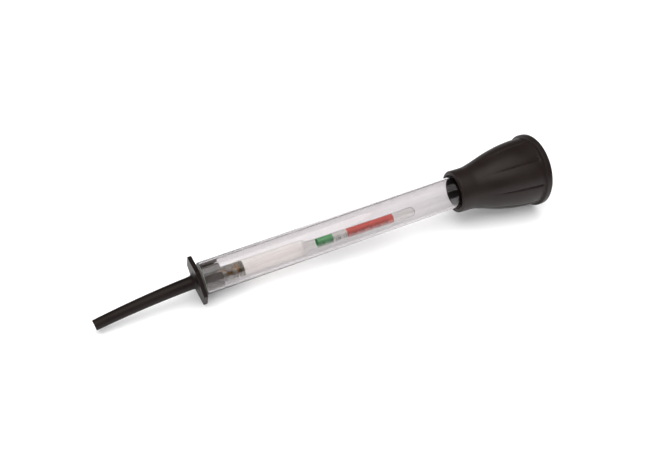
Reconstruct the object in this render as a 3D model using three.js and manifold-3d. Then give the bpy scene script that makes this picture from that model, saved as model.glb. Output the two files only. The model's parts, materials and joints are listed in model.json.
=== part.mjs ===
// A battery hydrometer, lying on a level surface as it is put down after use.
//
// A rubber suction bulb draws acid up a bent nozzle into a glass barrel, where a weighted glass
// float shows the acid's density on the paper scale in its stem.
//
// Stations along the instrument are millimetres along the barrel's axis, from just before the
// plug's flange towards the bulb. The bulb lies level on its rim and the barrel slopes down from
// the bulb's mouth to one flat of the hexagonal flange.
import * as THREE from "three";
import { mergeVertices } from "three/addons/utils/BufferGeometryUtils.js";
import Module from "manifold-3d";

const wasm = await Module();
wasm.setup();

// Glass barrel: a length of plain tube with softened ends.
const BARREL_OUTER_R = 11;
const BARREL_INNER_R = 9.5;
const BARREL_START = 5.6;
const BARREL_END = 209;
const BARREL_EDGE_R = 0.5;
const BARREL_SEGMENTS = 48;

// Plug: hexagonal flange, ring of fingers inside the barrel, and the bent nozzle. The flange and
// the nozzle lean a little, because the soft plug was pushed in unevenly.
const FLANGE_START = 1.2;
const FLANGE_THICKNESS = 2.8;
const FLANGE_END = FLANGE_START + FLANGE_THICKNESS;
const FLANGE_CORNER_R = 16.9;
const FLANGE_EDGE = 0.4;
const LEAN_DEG = 2;
const LEAN_SIDE_DEG = 38; // of the lean and the bend, from straight down towards -Y
const FINGER_COUNT = 9;
const FINGER_OUTER_R = 9.3;
const FINGER_INNER_R = 8.4;
const FINGER_TIP = 18;
const FINGER_CORNER_R = 1;
const SLOT_START = 6.2;
const SLOT_WIDTH = 2;
const FIRST_SLOT_DEG = 37; // from straight up towards -Y
const PLUG_FLOOR = 4.6; // the bottom of the cage that the float stands in
const NOZZLE_LENGTH = 68.2;
const NOZZLE_TIP_R = 3.55;
const NOZZLE_BASE_R = 4.5;
const NOZZLE_FILLET_R = 3.5;
const NOZZLE_BORE_R = 1.75;
const NOZZLE_BEND_DEG = 5.3; // between the flange and the tip
const NOZZLE_SEGMENTS = 24;

// Suction bulb: its own stations start at its mouth.
const MOUTH = 190;
const BULB_LENGTH = 65.8;
const BULB_WALL = 3;
const LIP_R = 1.2;
const NECK_R = 14.9;
const FLARE_R = 12.7; // the widened edge of the mouth's bore
const FLARE_DEPTH = 2;
const RIM_R = 25.8;
const RIM_BEAD_R = 2.7;
const RIM_LEDGE = 24.1;
const BULB_OUTLINE = [[9, 14.95], [13, 15.3], [20, 17.1], [30, 20.2], [41, 22.6], [50, 23.7], [56, 24.1]];
const BARREL_FIT_GAP = 0.3;
const STOP_BORE_R = 8.8; // the collar that the barrel's end stops against
const STOP_THICKNESS = 2.4;
const CAVITY_END_R = 20.6;
const LOBES = 8;
const CREASE_DEPTH = 0.8;
const CREASE_HALF_WIDTH_DEG = 7;
const CREASE_START = 18;
const CREASE_END = 59;
const CREASE_FADE_IN = 14;
const CREASE_FADE_OUT = 4;
const CREASE_ELEVATION_DEG = 10.5; // of one crease, from -Y towards +Z
const BULB_SEGMENTS = 64;
const CAVITY_SEGMENTS = 40;

// The part of the bulb's wall that the thumb presses in, seen from above.
const PRESS_CENTRE = 41;
const PRESS_HALF_LENGTH = 12;
const PRESS_HALF_WIDTH = 10;
const PRESS_GAP = 0.3;

// Float: a blown glass body and stem, with a paper scale and ballast inside.
const FLOAT_START = 5.6;
const FLOAT_R = 5.7;
const FLOAT_BOTTOM_R = 4;
const FLOAT_WALL = 0.4;
const SHOULDER_START = 75;
const SHOULDER_END = 81;
const STEM_R = 3.45;
const STEM_WALL = 0.25;
const STEM_JOIN = 81.5;
const STEM_JOIN_GAP = 0.3;
const STEM_TIP = 159.3;
const FLOAT_SEGMENTS = 32;
const FLOAT_CAGE_GAP = 0.1;
const FLOAT_GLASS_GAP = 0.3;
const PAPER_START = 86.4;
const PAPER_END = 142.2;
const PAPER_OUTER_R = 3.05;
const PAPER_THICKNESS = 0.15;

// Ballast: lead shot in rings of three, held by resin that caps and runs down between them.
const SHOT_R = 2.15;
const SHOTS_PER_RING = 3;
const SHOT_RING_R = 2.95;
const SHOT_RINGS = 6;
const SHOT_FIRST_RING = 10;
const SHOT_RING_PITCH = 3.55;
const RESIN_CAP_START = 30.4;
const RESIN_CAP_END = 33.5;
const RESIN_CAP_R = 5;
const RESIN_CORE_R = 0.5;
const RESIN_CORE_START = 8;

const MERGE_DISTANCE = 1e-4;
const radians = THREE.MathUtils.degToRad;

// A body of revolution about X, from an outline of [station, radius] pairs. The outer side of
// the outline runs towards +X.
function revolve(outline, segments, startDeg = 0) {
  const points = outline.map(([station, radius]) => new THREE.Vector2(radius, station));
  const geometry = new THREE.LatheGeometry(points, segments, radians(startDeg));
  return geometry.rotateZ(-Math.PI / 2);
}

// Points of a circular arc in an outline; angles run from the +station axis towards +radius.
function arc(station, radius, arcR, fromDeg, toDeg, steps) {
  const points = [];
  for (let i = 0; i <= steps; i += 1) {
    const angle = radians(fromDeg + ((toDeg - fromDeg) * i) / steps);
    points.push([station + arcR * Math.cos(angle), radius + arcR * Math.sin(angle)]);
  }
  return points;
}

// A tube's outline with rounded edges at both ends, closed on itself.
function tubeOutline(start, end, outerR, innerR, edgeR, steps) {
  const outline = [
    ...arc(start + edgeR, outerR - edgeR, edgeR, 180, 90, steps),
    ...arc(end - edgeR, outerR - edgeR, edgeR, 90, 0, steps),
    ...arc(end - edgeR, innerR + edgeR, edgeR, 0, -90, steps),
    ...arc(start + edgeR, innerR + edgeR, edgeR, -90, -180, steps),
  ];
  return [...outline, outline[0]];
}

function rod(start, end, radius, segments) {
  return revolve([[start, 0], [start, radius], [end, radius], [end, 0]], segments);
}

function toSolid(geometry) {
  const bare = geometry.clone();
  bare.deleteAttribute("normal");
  bare.deleteAttribute("uv");
  const merged = mergeVertices(bare, MERGE_DISTANCE);
  return new wasm.Manifold(new wasm.Mesh({
    numProp: 3,
    vertProperties: merged.attributes.position.array,
    triVerts: new Uint32Array(merged.index.array),
  }));
}

function toGeometry(solid) {
  const mesh = solid.getMesh();
  const geometry = new THREE.BufferGeometry();
  geometry.setAttribute("position", new THREE.BufferAttribute(mesh.vertProperties, mesh.numProp));
  geometry.setIndex(new THREE.BufferAttribute(mesh.triVerts, 1));
  geometry.computeVertexNormals();
  return geometry;
}

// The direction that the nozzle leans and bends in.
function leanDirection() {
  const side = radians(LEAN_SIDE_DEG);
  return new THREE.Vector3(0, -Math.sin(side), -Math.cos(side));
}

// Bends what lies at negative stations along a circle, in the direction of the lean.
function bendNozzle(geometry) {
  const curvature = radians(NOZZLE_BEND_DEG) / NOZZLE_LENGTH;
  const towards = leanDirection();
  const position = geometry.attributes.position;
  const point = new THREE.Vector3();
  for (let i = 0; i < position.count; i += 1) {
    point.fromBufferAttribute(position, i);
    if (point.x >= 0) continue;
    const turn = -point.x * curvature;
    const offset = point.dot(towards);
    const bentOffset = (1 - Math.cos(turn)) / curvature + offset * Math.cos(turn);
    point.x = offset * Math.sin(turn) - Math.sin(turn) / curvature;
    point.addScaledVector(towards, bentOffset - offset);
    position.setXYZ(i, point.x, point.y, point.z);
  }
  return geometry;
}

// Moves a shape with its station 0 at the flange's nozzle side to its place, leaning about the
// middle of the flange's other side.
function leanIntoPlace(geometry) {
  const axis = new THREE.Vector3(-1, 0, 0).cross(leanDirection());
  geometry.translate(-FLANGE_THICKNESS, 0, 0);
  geometry.applyMatrix4(new THREE.Matrix4().makeRotationAxis(axis, radians(LEAN_DEG)));
  return toSolid(geometry.translate(FLANGE_END, 0, 0));
}

function makeBarrel() {
  const outline = tubeOutline(
    BARREL_START, BARREL_END, BARREL_OUTER_R, BARREL_INNER_R, BARREL_EDGE_R, 2,
  );
  return revolve(outline, BARREL_SEGMENTS);
}

// The hexagonal flange, with its flats up and down and a small chamfer on its edges.
function makeFlange() {
  const outline = [
    [0, 0],
    [0, FLANGE_CORNER_R - FLANGE_EDGE],
    [FLANGE_EDGE, FLANGE_CORNER_R],
    [FLANGE_THICKNESS - FLANGE_EDGE, FLANGE_CORNER_R],
    [FLANGE_THICKNESS, FLANGE_CORNER_R - FLANGE_EDGE],
    [FLANGE_THICKNESS, 0],
  ];
  return revolve(outline, 6, 90);
}

// One slot between two fingers, as a cutter: round at its closed end, and flared at the tips
// so that each finger's end has round corners.
function makeSlotCutter() {
  const half = SLOT_WIDTH / 2;
  const flare = FINGER_TIP - FINGER_CORNER_R;
  const past = FINGER_TIP + 1;
  const shape = new THREE.Shape();
  shape.moveTo(past, -half - FINGER_CORNER_R);
  shape.lineTo(past, half + FINGER_CORNER_R);
  shape.lineTo(FINGER_TIP, half + FINGER_CORNER_R);
  shape.absarc(flare, half + FINGER_CORNER_R, FINGER_CORNER_R, 0, -Math.PI / 2, true);
  shape.absarc(SLOT_START + half, 0, half, Math.PI / 2, -Math.PI / 2, false);
  shape.absarc(flare, -half - FINGER_CORNER_R, FINGER_CORNER_R, Math.PI / 2, 0, true);
  shape.closePath();
  const depth = 4;
  const cutter = new THREE.ExtrudeGeometry(shape, { depth, bevelEnabled: false, curveSegments: 4 });
  return cutter.translate(0, 0, FINGER_OUTER_R - depth / 2);
}

function makeNozzle() {
  const outline = [
    [-NOZZLE_LENGTH, 0],
    [-NOZZLE_LENGTH, NOZZLE_TIP_R - 0.2],
    [-NOZZLE_LENGTH + 0.2, NOZZLE_TIP_R],
  ];
  const steps = 10;
  const filletStart = -NOZZLE_FILLET_R;
  for (let i = 1; i < steps; i += 1) {
    const station = THREE.MathUtils.lerp(-NOZZLE_LENGTH, filletStart, i / steps);
    const radius = THREE.MathUtils.lerp(NOZZLE_TIP_R, NOZZLE_BASE_R, i / steps);
    outline.push([station, radius]);
  }
  outline.push(...arc(filletStart, NOZZLE_BASE_R + NOZZLE_FILLET_R, NOZZLE_FILLET_R, -90, 0, 4));
  const inFlange = FLANGE_THICKNESS / 2;
  outline.push([inFlange, NOZZLE_BASE_R + NOZZLE_FILLET_R], [inFlange, 0]);
  return bendNozzle(revolve(outline, NOZZLE_SEGMENTS));
}

// The nozzle's bore as a cutter, from past the tip to past the cage's floor.
function makeNozzleBore() {
  const steps = 10;
  const outline = [[-NOZZLE_LENGTH - 1, 0]];
  for (let i = 0; i <= steps; i += 1) {
    const station = THREE.MathUtils.lerp(-NOZZLE_LENGTH - 1, 0, i / steps);
    outline.push([station, NOZZLE_BORE_R]);
  }
  const end = PLUG_FLOOR - FLANGE_START + 1;
  outline.push([end, NOZZLE_BORE_R], [end, 0]);
  return bendNozzle(revolve(outline, NOZZLE_SEGMENTS / 2));
}

function makePlug() {
  const spigotStart = FLANGE_END - FLANGE_THICKNESS / 2;
  const spigot = toSolid(rod(spigotStart, FINGER_TIP, FINGER_OUTER_R, BARREL_SEGMENTS));
  const cage = toSolid(rod(PLUG_FLOOR, FINGER_TIP + 1, FINGER_INNER_R, BARREL_SEGMENTS));
  const leaning = leanIntoPlace(makeFlange()).add(leanIntoPlace(makeNozzle()));
  let plug = leaning.add(spigot).subtract(cage);
  for (let i = 0; i < FINGER_COUNT; i += 1) {
    const turn = radians(FIRST_SLOT_DEG + (360 * i) / FINGER_COUNT);
    plug = plug.subtract(toSolid(makeSlotCutter().rotateX(turn)));
  }
  return toGeometry(plug.subtract(leanIntoPlace(makeNozzleBore())));
}

// How deep the creases between the lobes are at a station of the bulb, from 0 to 1.
function creaseStrength(station) {
  const rise = THREE.MathUtils.smoothstep(station, CREASE_START, CREASE_START + CREASE_FADE_IN);
  const fall = THREE.MathUtils.smoothstep(station, CREASE_END - CREASE_FADE_OUT, CREASE_END);
  return rise * (1 - fall);
}

// Presses narrow creases into the bulb's outside, which leave lobes between them.
function creaseBulb(geometry) {
  const position = geometry.attributes.position;
  const pitch = 360 / LOBES;
  for (let i = 0; i < position.count; i += 1) {
    const y = position.getY(i);
    const z = position.getZ(i);
    const radius = Math.hypot(y, z);
    if (radius < NECK_R) continue;
    const elevation = THREE.MathUtils.radToDeg(Math.atan2(z, -y)) - CREASE_ELEVATION_DEG;
    const away = Math.abs(elevation - pitch * Math.round(elevation / pitch));
    const closeness = Math.max(0, 1 - away / CREASE_HALF_WIDTH_DEG);
    const depth = CREASE_DEPTH * closeness * creaseStrength(position.getX(i));
    position.setY(i, y * (1 - depth / radius));
    position.setZ(i, z * (1 - depth / radius));
  }
  return geometry;
}

function makeBulbOutside() {
  const lip = arc(LIP_R, NECK_R - LIP_R, LIP_R, 180, 90, 3);
  const side = new THREE.SplineCurve(BULB_OUTLINE.map((pair) => new THREE.Vector2(...pair)));
  const flank = side.getPoints(10).map((point) => [point.x, point.y]);
  const beadStation = BULB_LENGTH - RIM_BEAD_R;
  const bead = arc(beadStation, RIM_R - RIM_BEAD_R, RIM_BEAD_R, 150, 0, 6);
  const ledge = [CREASE_END, RIM_LEDGE];
  const outline = [[0, 0], ...lip, ...flank, ledge, ...bead, [BULB_LENGTH, 0]];
  return creaseBulb(revolve(outline, BULB_SEGMENTS, 90 - CREASE_ELEVATION_DEG));
}

function makeBulbCavity() {
  const stopEnd = BARREL_END - MOUTH + BARREL_FIT_GAP + STOP_THICKNESS;
  const flank = BULB_OUTLINE.slice(3).map(([station, radius]) => [station, radius - BULB_WALL]);
  const end = BULB_LENGTH - BULB_WALL;
  const corner = arc(end - BULB_WALL, CAVITY_END_R - BULB_WALL, BULB_WALL, 80, 0, 3);
  const outline = [[stopEnd, 0], [stopEnd, STOP_BORE_R], ...flank, ...corner, [end, 0]];
  return revolve(outline, CAVITY_SEGMENTS);
}

// The bore that the barrel is pushed into, flared at the mouth, and the smaller one through its
// stop. They follow the barrel's axis, which climbs away from the level bulb's.
function makeMouthBore(slope) {
  const end = BARREL_END - MOUTH + BARREL_FIT_GAP;
  const flareAt = (station) => FLARE_R - ((FLARE_R - BARREL_OUTER_R) * station) / FLARE_DEPTH;
  const flare = revolve([[-2, 0], [-2, flareAt(-2)], [FLARE_DEPTH, flareAt(FLARE_DEPTH)],
    [FLARE_DEPTH, 0]], BARREL_SEGMENTS);
  const fit = rod(-2, end, BARREL_OUTER_R + BARREL_FIT_GAP, BARREL_SEGMENTS);
  const through = rod(end - 1, end + STOP_THICKNESS + 2, STOP_BORE_R, BARREL_SEGMENTS);
  return toSolid(fit).add(toSolid(flare)).add(toSolid(through)).rotate(0, THREE.MathUtils.radToDeg(-slope), 0);
}

// The upright prism that parts the pressed wall from the rest of the bulb.
function makePressPrism(margin) {
  const shape = new THREE.Shape();
  const length = PRESS_HALF_LENGTH + margin;
  const width = PRESS_HALF_WIDTH + margin;
  shape.absellipse(PRESS_CENTRE, 0, length, width, 0, 2 * Math.PI);
  return toSolid(new THREE.ExtrudeGeometry(shape, {
    depth: 2 * RIM_R, bevelEnabled: false, curveSegments: 14,
  }));
}

function makeBulbShell(slope) {
  return toSolid(makeBulbOutside()).subtract(toSolid(makeBulbCavity())).subtract(makeMouthBore(slope));
}

// The shoulder between the float's body and its stem, as a smooth S.
function shoulder(bodyR, stemR, steps) {
  const points = [];
  for (let i = 0; i <= steps; i += 1) {
    const station = THREE.MathUtils.lerp(SHOULDER_START, SHOULDER_END, i / steps);
    const blend = THREE.MathUtils.smoothstep(station, SHOULDER_START, SHOULDER_END);
    points.push([station, THREE.MathUtils.lerp(bodyR, stemR, blend)]);
  }
  return points;
}

function makeFloatBody() {
  const cornerStation = FLOAT_START + FLOAT_BOTTOM_R;
  const cornerCentreR = FLOAT_R - FLOAT_BOTTOM_R;
  const outside = [
    [FLOAT_START, 0],
    ...arc(cornerStation, cornerCentreR, FLOAT_BOTTOM_R, 180, 90, 6),
    ...shoulder(FLOAT_R, STEM_R, 6),
    [STEM_JOIN, STEM_R],
  ];
  const inside = [
    [FLOAT_START + FLOAT_WALL, 0],
    ...arc(cornerStation, cornerCentreR, FLOAT_BOTTOM_R - FLOAT_WALL, 180, 90, 6),
    ...shoulder(FLOAT_R - FLOAT_WALL, STEM_R - STEM_WALL, 6),
    [STEM_JOIN, STEM_R - STEM_WALL],
  ];
  return revolve([...outside, ...inside.reverse()], FLOAT_SEGMENTS);
}

function makeFloatStem() {
  const start = STEM_JOIN + STEM_JOIN_GAP;
  const tipCentre = STEM_TIP - STEM_R;
  const outside = [[start, STEM_R], ...arc(tipCentre, 0, STEM_R, 90, 0, 5)];
  const inside = [[start, STEM_R - STEM_WALL], ...arc(tipCentre, 0, STEM_R - STEM_WALL, 90, 0, 5)];
  return revolve([...inside.reverse(), ...outside], NOZZLE_SEGMENTS);
}

function makePaper() {
  const innerR = PAPER_OUTER_R - PAPER_THICKNESS;
  return revolve([
    [PAPER_START, innerR],
    [PAPER_START, PAPER_OUTER_R],
    [PAPER_END, PAPER_OUTER_R],
    [PAPER_END, innerR],
    [PAPER_START, innerR],
  ], NOZZLE_SEGMENTS);
}

function makeResin() {
  return revolve([
    [RESIN_CORE_START, 0],
    [RESIN_CORE_START, RESIN_CORE_R],
    [RESIN_CAP_START, RESIN_CORE_R],
    [RESIN_CAP_START, RESIN_CAP_R],
    [RESIN_CAP_END, RESIN_CAP_R],
    [RESIN_CAP_END, 0],
  ], NOZZLE_SEGMENTS);
}

function addMesh(group, name, geometry, color, roughness, metalness = 0) {
  const material = new THREE.MeshStandardMaterial({ color, roughness, metalness });
  const mesh = new THREE.Mesh(geometry, material);
  mesh.name = name;
  group.add(mesh);
  return mesh;
}

function addShot(group) {
  for (let i = 0; i < SHOT_RINGS * SHOTS_PER_RING; i += 1) {
    const ring = Math.floor(i / SHOTS_PER_RING);
    const turn = ((i % SHOTS_PER_RING) + ring / 2) * ((2 * Math.PI) / SHOTS_PER_RING);
    const number = String(i + 1).padStart(2, "0");
    const geometry = new THREE.IcosahedronGeometry(SHOT_R, 1);
    const shot = addMesh(group, `lead_shot_${number}`, geometry, 0x6f6d6e, 0.5, 0.8);
    shot.position.set(
      SHOT_FIRST_RING + ring * SHOT_RING_PITCH,
      SHOT_RING_R * Math.sin(turn),
      SHOT_RING_R * Math.cos(turn),
    );
  }
}

// The float leans on the ends of the plug's fingers and, at its shoulder, on the glass.
function makeFloat() {
  const dropAtFingers = FINGER_INNER_R - FLOAT_R - FLOAT_CAGE_GAP;
  const dropAtShoulder = BARREL_INNER_R - FLOAT_R - FLOAT_GLASS_GAP;
  const slope = Math.atan2(dropAtShoulder - dropAtFingers, SHOULDER_START - FINGER_TIP);
  const group = new THREE.Group();
  group.rotation.y = slope;
  group.position.z = FINGER_TIP * Math.tan(slope) - dropAtFingers;
  addMesh(group, "float_body_glass", makeFloatBody(), 0xdfe6e4, 0.05);
  addMesh(group, "float_stem_glass", makeFloatStem(), 0xdfe6e4, 0.05);
  addMesh(group, "scale_paper", makePaper(), 0xf2efe9, 0.9);
  addMesh(group, "ballast_resin", makeResin(), 0x9a5a1c, 0.4);
  addShot(group);
  return group;
}

function makeBulb(slope) {
  const group = new THREE.Group();
  group.position.x = MOUTH;
  group.rotation.y = slope;
  const shell = makeBulbShell(slope);
  const body = toGeometry(shell.subtract(makePressPrism(PRESS_GAP)));
  const pressed = toGeometry(shell.intersect(makePressPrism(0)));
  addMesh(group, "suction_bulb", body, 0x1d1b1c, 0.5);
  addMesh(group, "bulb_press_wall", pressed, 0x1d1b1c, 0.5);
  return group;
}

// The barrel's slope that puts both the level bulb's rim and the flange's lower flat on the
// surface: length sin(slope) + drop cos(slope) = RIM_R, where the length and the drop run from
// the middle of the bulb's mouth and from the barrel's axis to the flat's lower edge.
function restingSlope() {
  const apothem = FLANGE_CORNER_R * Math.cos(radians(30));
  const leanDown = radians(LEAN_DEG) * Math.cos(radians(LEAN_SIDE_DEG));
  const length = MOUTH - FLANGE_START - apothem * Math.sin(leanDown);
  const drop = apothem + FLANGE_THICKNESS * Math.sin(leanDown);
  return Math.asin(RIM_R / Math.hypot(length, drop)) - Math.atan2(drop, length);
}

function makeHydrometer() {
  const slope = restingSlope();
  const instrument = new THREE.Group();
  instrument.rotation.y = -slope;
  addMesh(instrument, "glass_barrel", makeBarrel(), 0xdce4e4, 0.05);
  addMesh(instrument, "nozzle_plug", makePlug(), 0x201c1c, 0.4);
  instrument.add(makeFloat(), makeBulb(slope));

  // The origin is under the middle of the instrument, on the surface that it lies on.
  const part = new THREE.Group();
  part.add(instrument);
  const box = new THREE.Box3().setFromObject(part, true);
  const middle = box.getCenter(new THREE.Vector3());
  instrument.position.set(-middle.x, -middle.y, -box.min.z);
  return part;
}

export default makeHydrometer();
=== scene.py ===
"""A battery hydrometer lying on a pale table: the looks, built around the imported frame."""
import json
import math

import bmesh
import bpy
from mathutils import Matrix, Vector


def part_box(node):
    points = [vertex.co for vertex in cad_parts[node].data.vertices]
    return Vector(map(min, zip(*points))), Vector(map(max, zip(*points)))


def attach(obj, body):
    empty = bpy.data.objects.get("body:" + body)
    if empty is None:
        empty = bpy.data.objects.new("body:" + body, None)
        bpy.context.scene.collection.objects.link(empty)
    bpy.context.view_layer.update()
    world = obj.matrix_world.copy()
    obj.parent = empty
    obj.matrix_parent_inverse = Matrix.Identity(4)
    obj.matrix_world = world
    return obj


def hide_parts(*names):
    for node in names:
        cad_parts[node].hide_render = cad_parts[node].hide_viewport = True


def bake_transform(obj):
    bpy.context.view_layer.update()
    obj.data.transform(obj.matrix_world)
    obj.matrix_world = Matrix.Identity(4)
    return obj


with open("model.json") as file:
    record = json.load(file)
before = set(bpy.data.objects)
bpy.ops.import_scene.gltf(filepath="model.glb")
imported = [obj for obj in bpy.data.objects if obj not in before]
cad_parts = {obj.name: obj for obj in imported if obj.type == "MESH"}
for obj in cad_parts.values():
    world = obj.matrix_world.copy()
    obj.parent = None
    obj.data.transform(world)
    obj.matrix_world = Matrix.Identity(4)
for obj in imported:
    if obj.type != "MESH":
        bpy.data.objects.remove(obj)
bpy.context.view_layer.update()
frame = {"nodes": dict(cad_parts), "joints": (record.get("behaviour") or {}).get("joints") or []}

MM = 0.001
SIDE = Vector((0, 1, 0))

# All sizes are millimetres, and angles are degrees. Stations run along the instrument from just
# before the flange towards the bulb; the bulb's own stations start at its mouth.

# Glass barrel.
BARREL_START = 5.6
BARREL_END = 209
BARREL_OUTER_R = 11
BARREL_INNER_R = 9.5
BARREL_EDGE_R = 0.65
BARREL_SEGMENTS = 384

# Plug: nozzle, hexagonal flange and the ring of fingers in the barrel.
NOZZLE_LENGTH = 68.2
NOZZLE_TIP_R = 3.55
NOZZLE_BASE_R = 4.5
NOZZLE_FILLET_R = 3.5
NOZZLE_TIP_EDGE_R = 0.35
NOZZLE_BORE_R = 1.75
NOZZLE_BEND = 5.3
NOZZLE_STEP = 2
LEAN = 2  # of the flange and the nozzle, out of line with the barrel
LEAN_SIDE = 38  # of the lean and the bend, from straight down towards -Y
FLANGE_START = 1.2
FLANGE_THICKNESS = 2.8
FLANGE_CORNER_R = 16.9
FLANGE_EDGE_R = 0.45
FLANGE_SIDE_EDGE_R = 0.9
CORNER_ANGLES = [0, 0.8, 1.6, 3]  # of the mesh's lines near a corner of the flange
SIDE_ANGLES = [6, 10, 14, 18, 22, 26]  # and from there to the middle of its side, at 30
NOZZLE_BORE_EDGE_R = 0.3
PLUG_FLOOR = 4.6
SPIGOT_R = 8.5
FINGER_COUNT = 9
FINGER_OUTER_R = 9.45
FINGER_INNER_R = 8.4
FINGER_ROOT = 3.6
FINGER_TIP = 18
FINGER_CORNER_R = 1
FINGER_EDGE_R = 0.15
FINGER_SHARP_ANGLE = 50  # from which an edge of a finger is rounded
FINGER_STRIPS = 6  # across half a finger and half a slot
FIRST_SLOT = 37  # from straight up towards -Y
SLOT_START = 6.2
SLOT_WIDTH = 2

# Suction bulb.
MOUTH = 190
BULB_LENGTH = 65.8
BULB_WALL = 3
LIP_R = 1.2
NECK_R = 14.9
FLARE_R = 12.7  # of the mouth's bore at its edge
FLARE_DEPTH = 2
RIM_R = 25.8
RIM_EDGE_R = 2.3
RIM_START = 60.2
RIM_STEP_R = 0.7  # of the rounded step up to the rim
RIM_ROOT_R = 0.3  # of the hollow at the foot of that step
RIM_ROOT_DEPTH = 0.1  # of that hollow below the flank
END_FLAT_MARGIN = 4  # from the flank's radius in to where the flat end's mesh begins
# Stations and radii of the flank, at the middle of a lobe.
BULB_OUTLINE = [(9, 14.95), (13, 15.3), (20, 17.1), (30, 20.2), (41, 22.6), (50, 23.7), (56, 24.1)]
BORE_R = 11.06
STOP_BORE_R = 8.8
STOP_THICKNESS = 2.4
STOP_EDGE_R = 0.4
BORE_CORNER_R = 0.3
FLARE_CORNER_R = 1
CAVITY_END_R = 20.6
CAVITY_FIRST = 3  # of the outline's points, the first that the cavity follows
LOBES = 8
SCALLOP_DEPTH = 0.6  # of a crease below the middle of a lobe
SCALLOP_RISE = (14, 34)  # stations between which it grows
GROOVE_DEPTH = 0.55  # of the fine groove along a crease
GROOVE_HALF_WIDTH = 2.2
GROOVE_RISE = (22, 46)
CREASE_FALL = (58, 60)  # stations between which the creases run out at the rim
CREASE_ELEVATION = 10.5  # of one crease, from -Y towards +Z
NEAR_CREASE = [0, 0.5, 1, 1.5, 2, 3, 4.5, 6.5]  # angles of the mesh's lines from a crease
PLAIN_LINES = 7  # evenly spaced ones from there to the middle of a lobe
PLAIN_START = 0.4  # of half a lobe, where those begin
PLAIN_STEP = 0.1

# Float.
FLOAT_START = 5.6
FLOAT_R = 5.7
FLOAT_BOTTOM_R = 4
FLOAT_WALL = 0.4
SHOULDER_START = 75
SHOULDER_END = 81
STEM_R = 3.45
STEM_WALL = 0.25
STEM_TIP = 159.3
STEM_TIP_WALL = 0.35
FLOAT_SEGMENTS = 96
SHOULDER_STEPS = 20
PAPER_START = 86.4
GREEN_END = 97.4
WHITE_END = 107.8
PAPER_END = 142.2
PAPER_R = 3.05
PAPER_THICKNESS = 0.12
PAPER_SEGMENTS = 72
PAPER_TURNS = 1.06
PAPER_SEAM = 200  # where the roll begins, from +Y towards +Z
OVERLAP_START = 0.85  # share of the strip from which it sinks under the rest
OVERLAP_SINK = 1.2  # thicknesses
NUMERAL_COUNT = 9
NUMERAL_FIRST = 1.30
NUMERAL_STEP = 0.02
NUMERAL_START = 89
NUMERAL_PITCH = 5.8
NUMERAL_SIZE = 2.5
NUMERAL_BOLD = 0.045  # of the size, added all round the strokes
NUMERAL_ELEVATION = 12  # from -Y towards +Z
NUMERAL_STRIPS = 8
TICKS_PER_NUMERAL = 5
TICK_WIDTH = 0.32
TICK_LOW = 36  # elevations between which a tick runs
TICK_HIGH = 54
LONG_TICK_HIGH = 62
TICK_STEPS = 8
INK_THICKNESS = 0.03
RESIN_END = 33.5
RESIN_GAP = 0.04  # between the resin and the glass
RESIN_SEGMENTS = 64
FILM_END = 33.9
FILM_CREEP = 0.3  # how far up the glass the clear resin reaches past its flat top
FILM_CREEP_WIDTH = 0.1
CORE_START = 8.3
CORE_CHAMFER = 1
CORE_STEPS = 90
RESIN_CORE_R = 1.7
RESIN_BANDS = (18.9, 30.4)
RESIN_BAND_HALF = 0.8
WEB_GAP = 0.15  # between a web of the core and the glass
WAX_START = 31.2
WAX_GAP = 0.2  # between the wax and the clear resin's outside
WAX_FOOT_R = 0.3
WAX_EDGE_R = 0.2
WAX_DISH_DEPTH = 1.2
WAX_DISH_MARGIN = 2
WAX_DISH_R = 1
SHOT_COUNT = 18
WELD_DISTANCE = 0.01  # within which a CAD mesh's split corners are joined
SHOT_ROUNDING = 2  # levels of subdivision
SHOT_FILL = 0.15  # what the rounding of a shot takes off it
FIRST_RING = (1, 2, 3)  # the shot nearest the foot, evenly spaced round the axis
FIRST_RING_STATION = 10

MERGE_DISTANCE = 0.001
SHARP_ANGLE = 40  # from which an edge is shaded sharp

# Camera: it looks at one point of the barrel's axis from the front, above and to the left.
VIEW_STATION = 90.6
VIEW_RISE = 3.1  # of its target above that point, upwards in the picture
VIEW_DISTANCE = 615.4
VIEW_AZIMUTH = -24.18
VIEW_ELEVATION = 41.1
VIEW_LENS = 51.57
SENSOR_WIDTH = 36
CLIP_START = 0.01  # in metres

# Looks. A pair of colours is a material's darker and lighter shade.
NOISE_LOW = 0.3  # most of a noise lies between these
NOISE_HIGH = 0.7
GLASS_IOR = 1.5
RESIN_IOR = 1.54
BARREL_TINT = (0.85, 0.834, 0.84)
BARREL_DUST = 0.02  # roughness where the glass is smudged
BARREL_DENSITY = 420  # how strongly the glass absorbs, per metre
GROUND_COLORS = ((0.55, 0.68, 0.62), (0.8, 0.85, 0.82))
FLOAT_TINT = (0.985, 0.98, 0.97)
FLOAT_DENSITY = 1500
MILKY_TINT = (0.965, 0.952, 0.935)
MILKY_DUST = 0.08
MILKY_CLEARNESS = 0.88
MILKY_DENSITY = 1200
FILM_TINT = (0.96, 0.93, 0.85)
PLUG_COLORS = ((0.007, 0.0044, 0.004), (0.011, 0.0076, 0.007))
# The fingers' lighter shades are painted sheen: they stand in for the overhead light that the
# fingers reflect.
FINGER_COLORS = ((0.1, 0.091, 0.084), (0.2, 0.184, 0.173))  # painted sheen, lighter to show in the barrel
BULB_COLORS = ((0.009, 0.006, 0.0054), (0.014, 0.01, 0.009))
RUBBER_TINT = (1, 0.93, 0.9)  # of its highlights
RUBBER_WEAR = (-0.05, 0.07)  # what the smoothest and the dullest patches add to its roughness
PAPER_COLORS = {"green": (0.16, 0.52, 0.22), "white": (0.93, 0.92, 0.9), "red": (0.86, 0.18, 0.15)}
PAPER_FADE = 0.86  # share of its colour that faded paper keeps
PAPER_GREY = 0.05  # and the grey that it takes on
INK_COLORS = ((0.008, 0.008, 0.01), (0.025, 0.022, 0.022))
LEAD_COLORS = ((0.3, 0.29, 0.27), (0.6, 0.58, 0.54))
RESIN_COLORS = ((0.22, 0.075, 0.012), (0.78, 0.4, 0.09))
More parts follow.
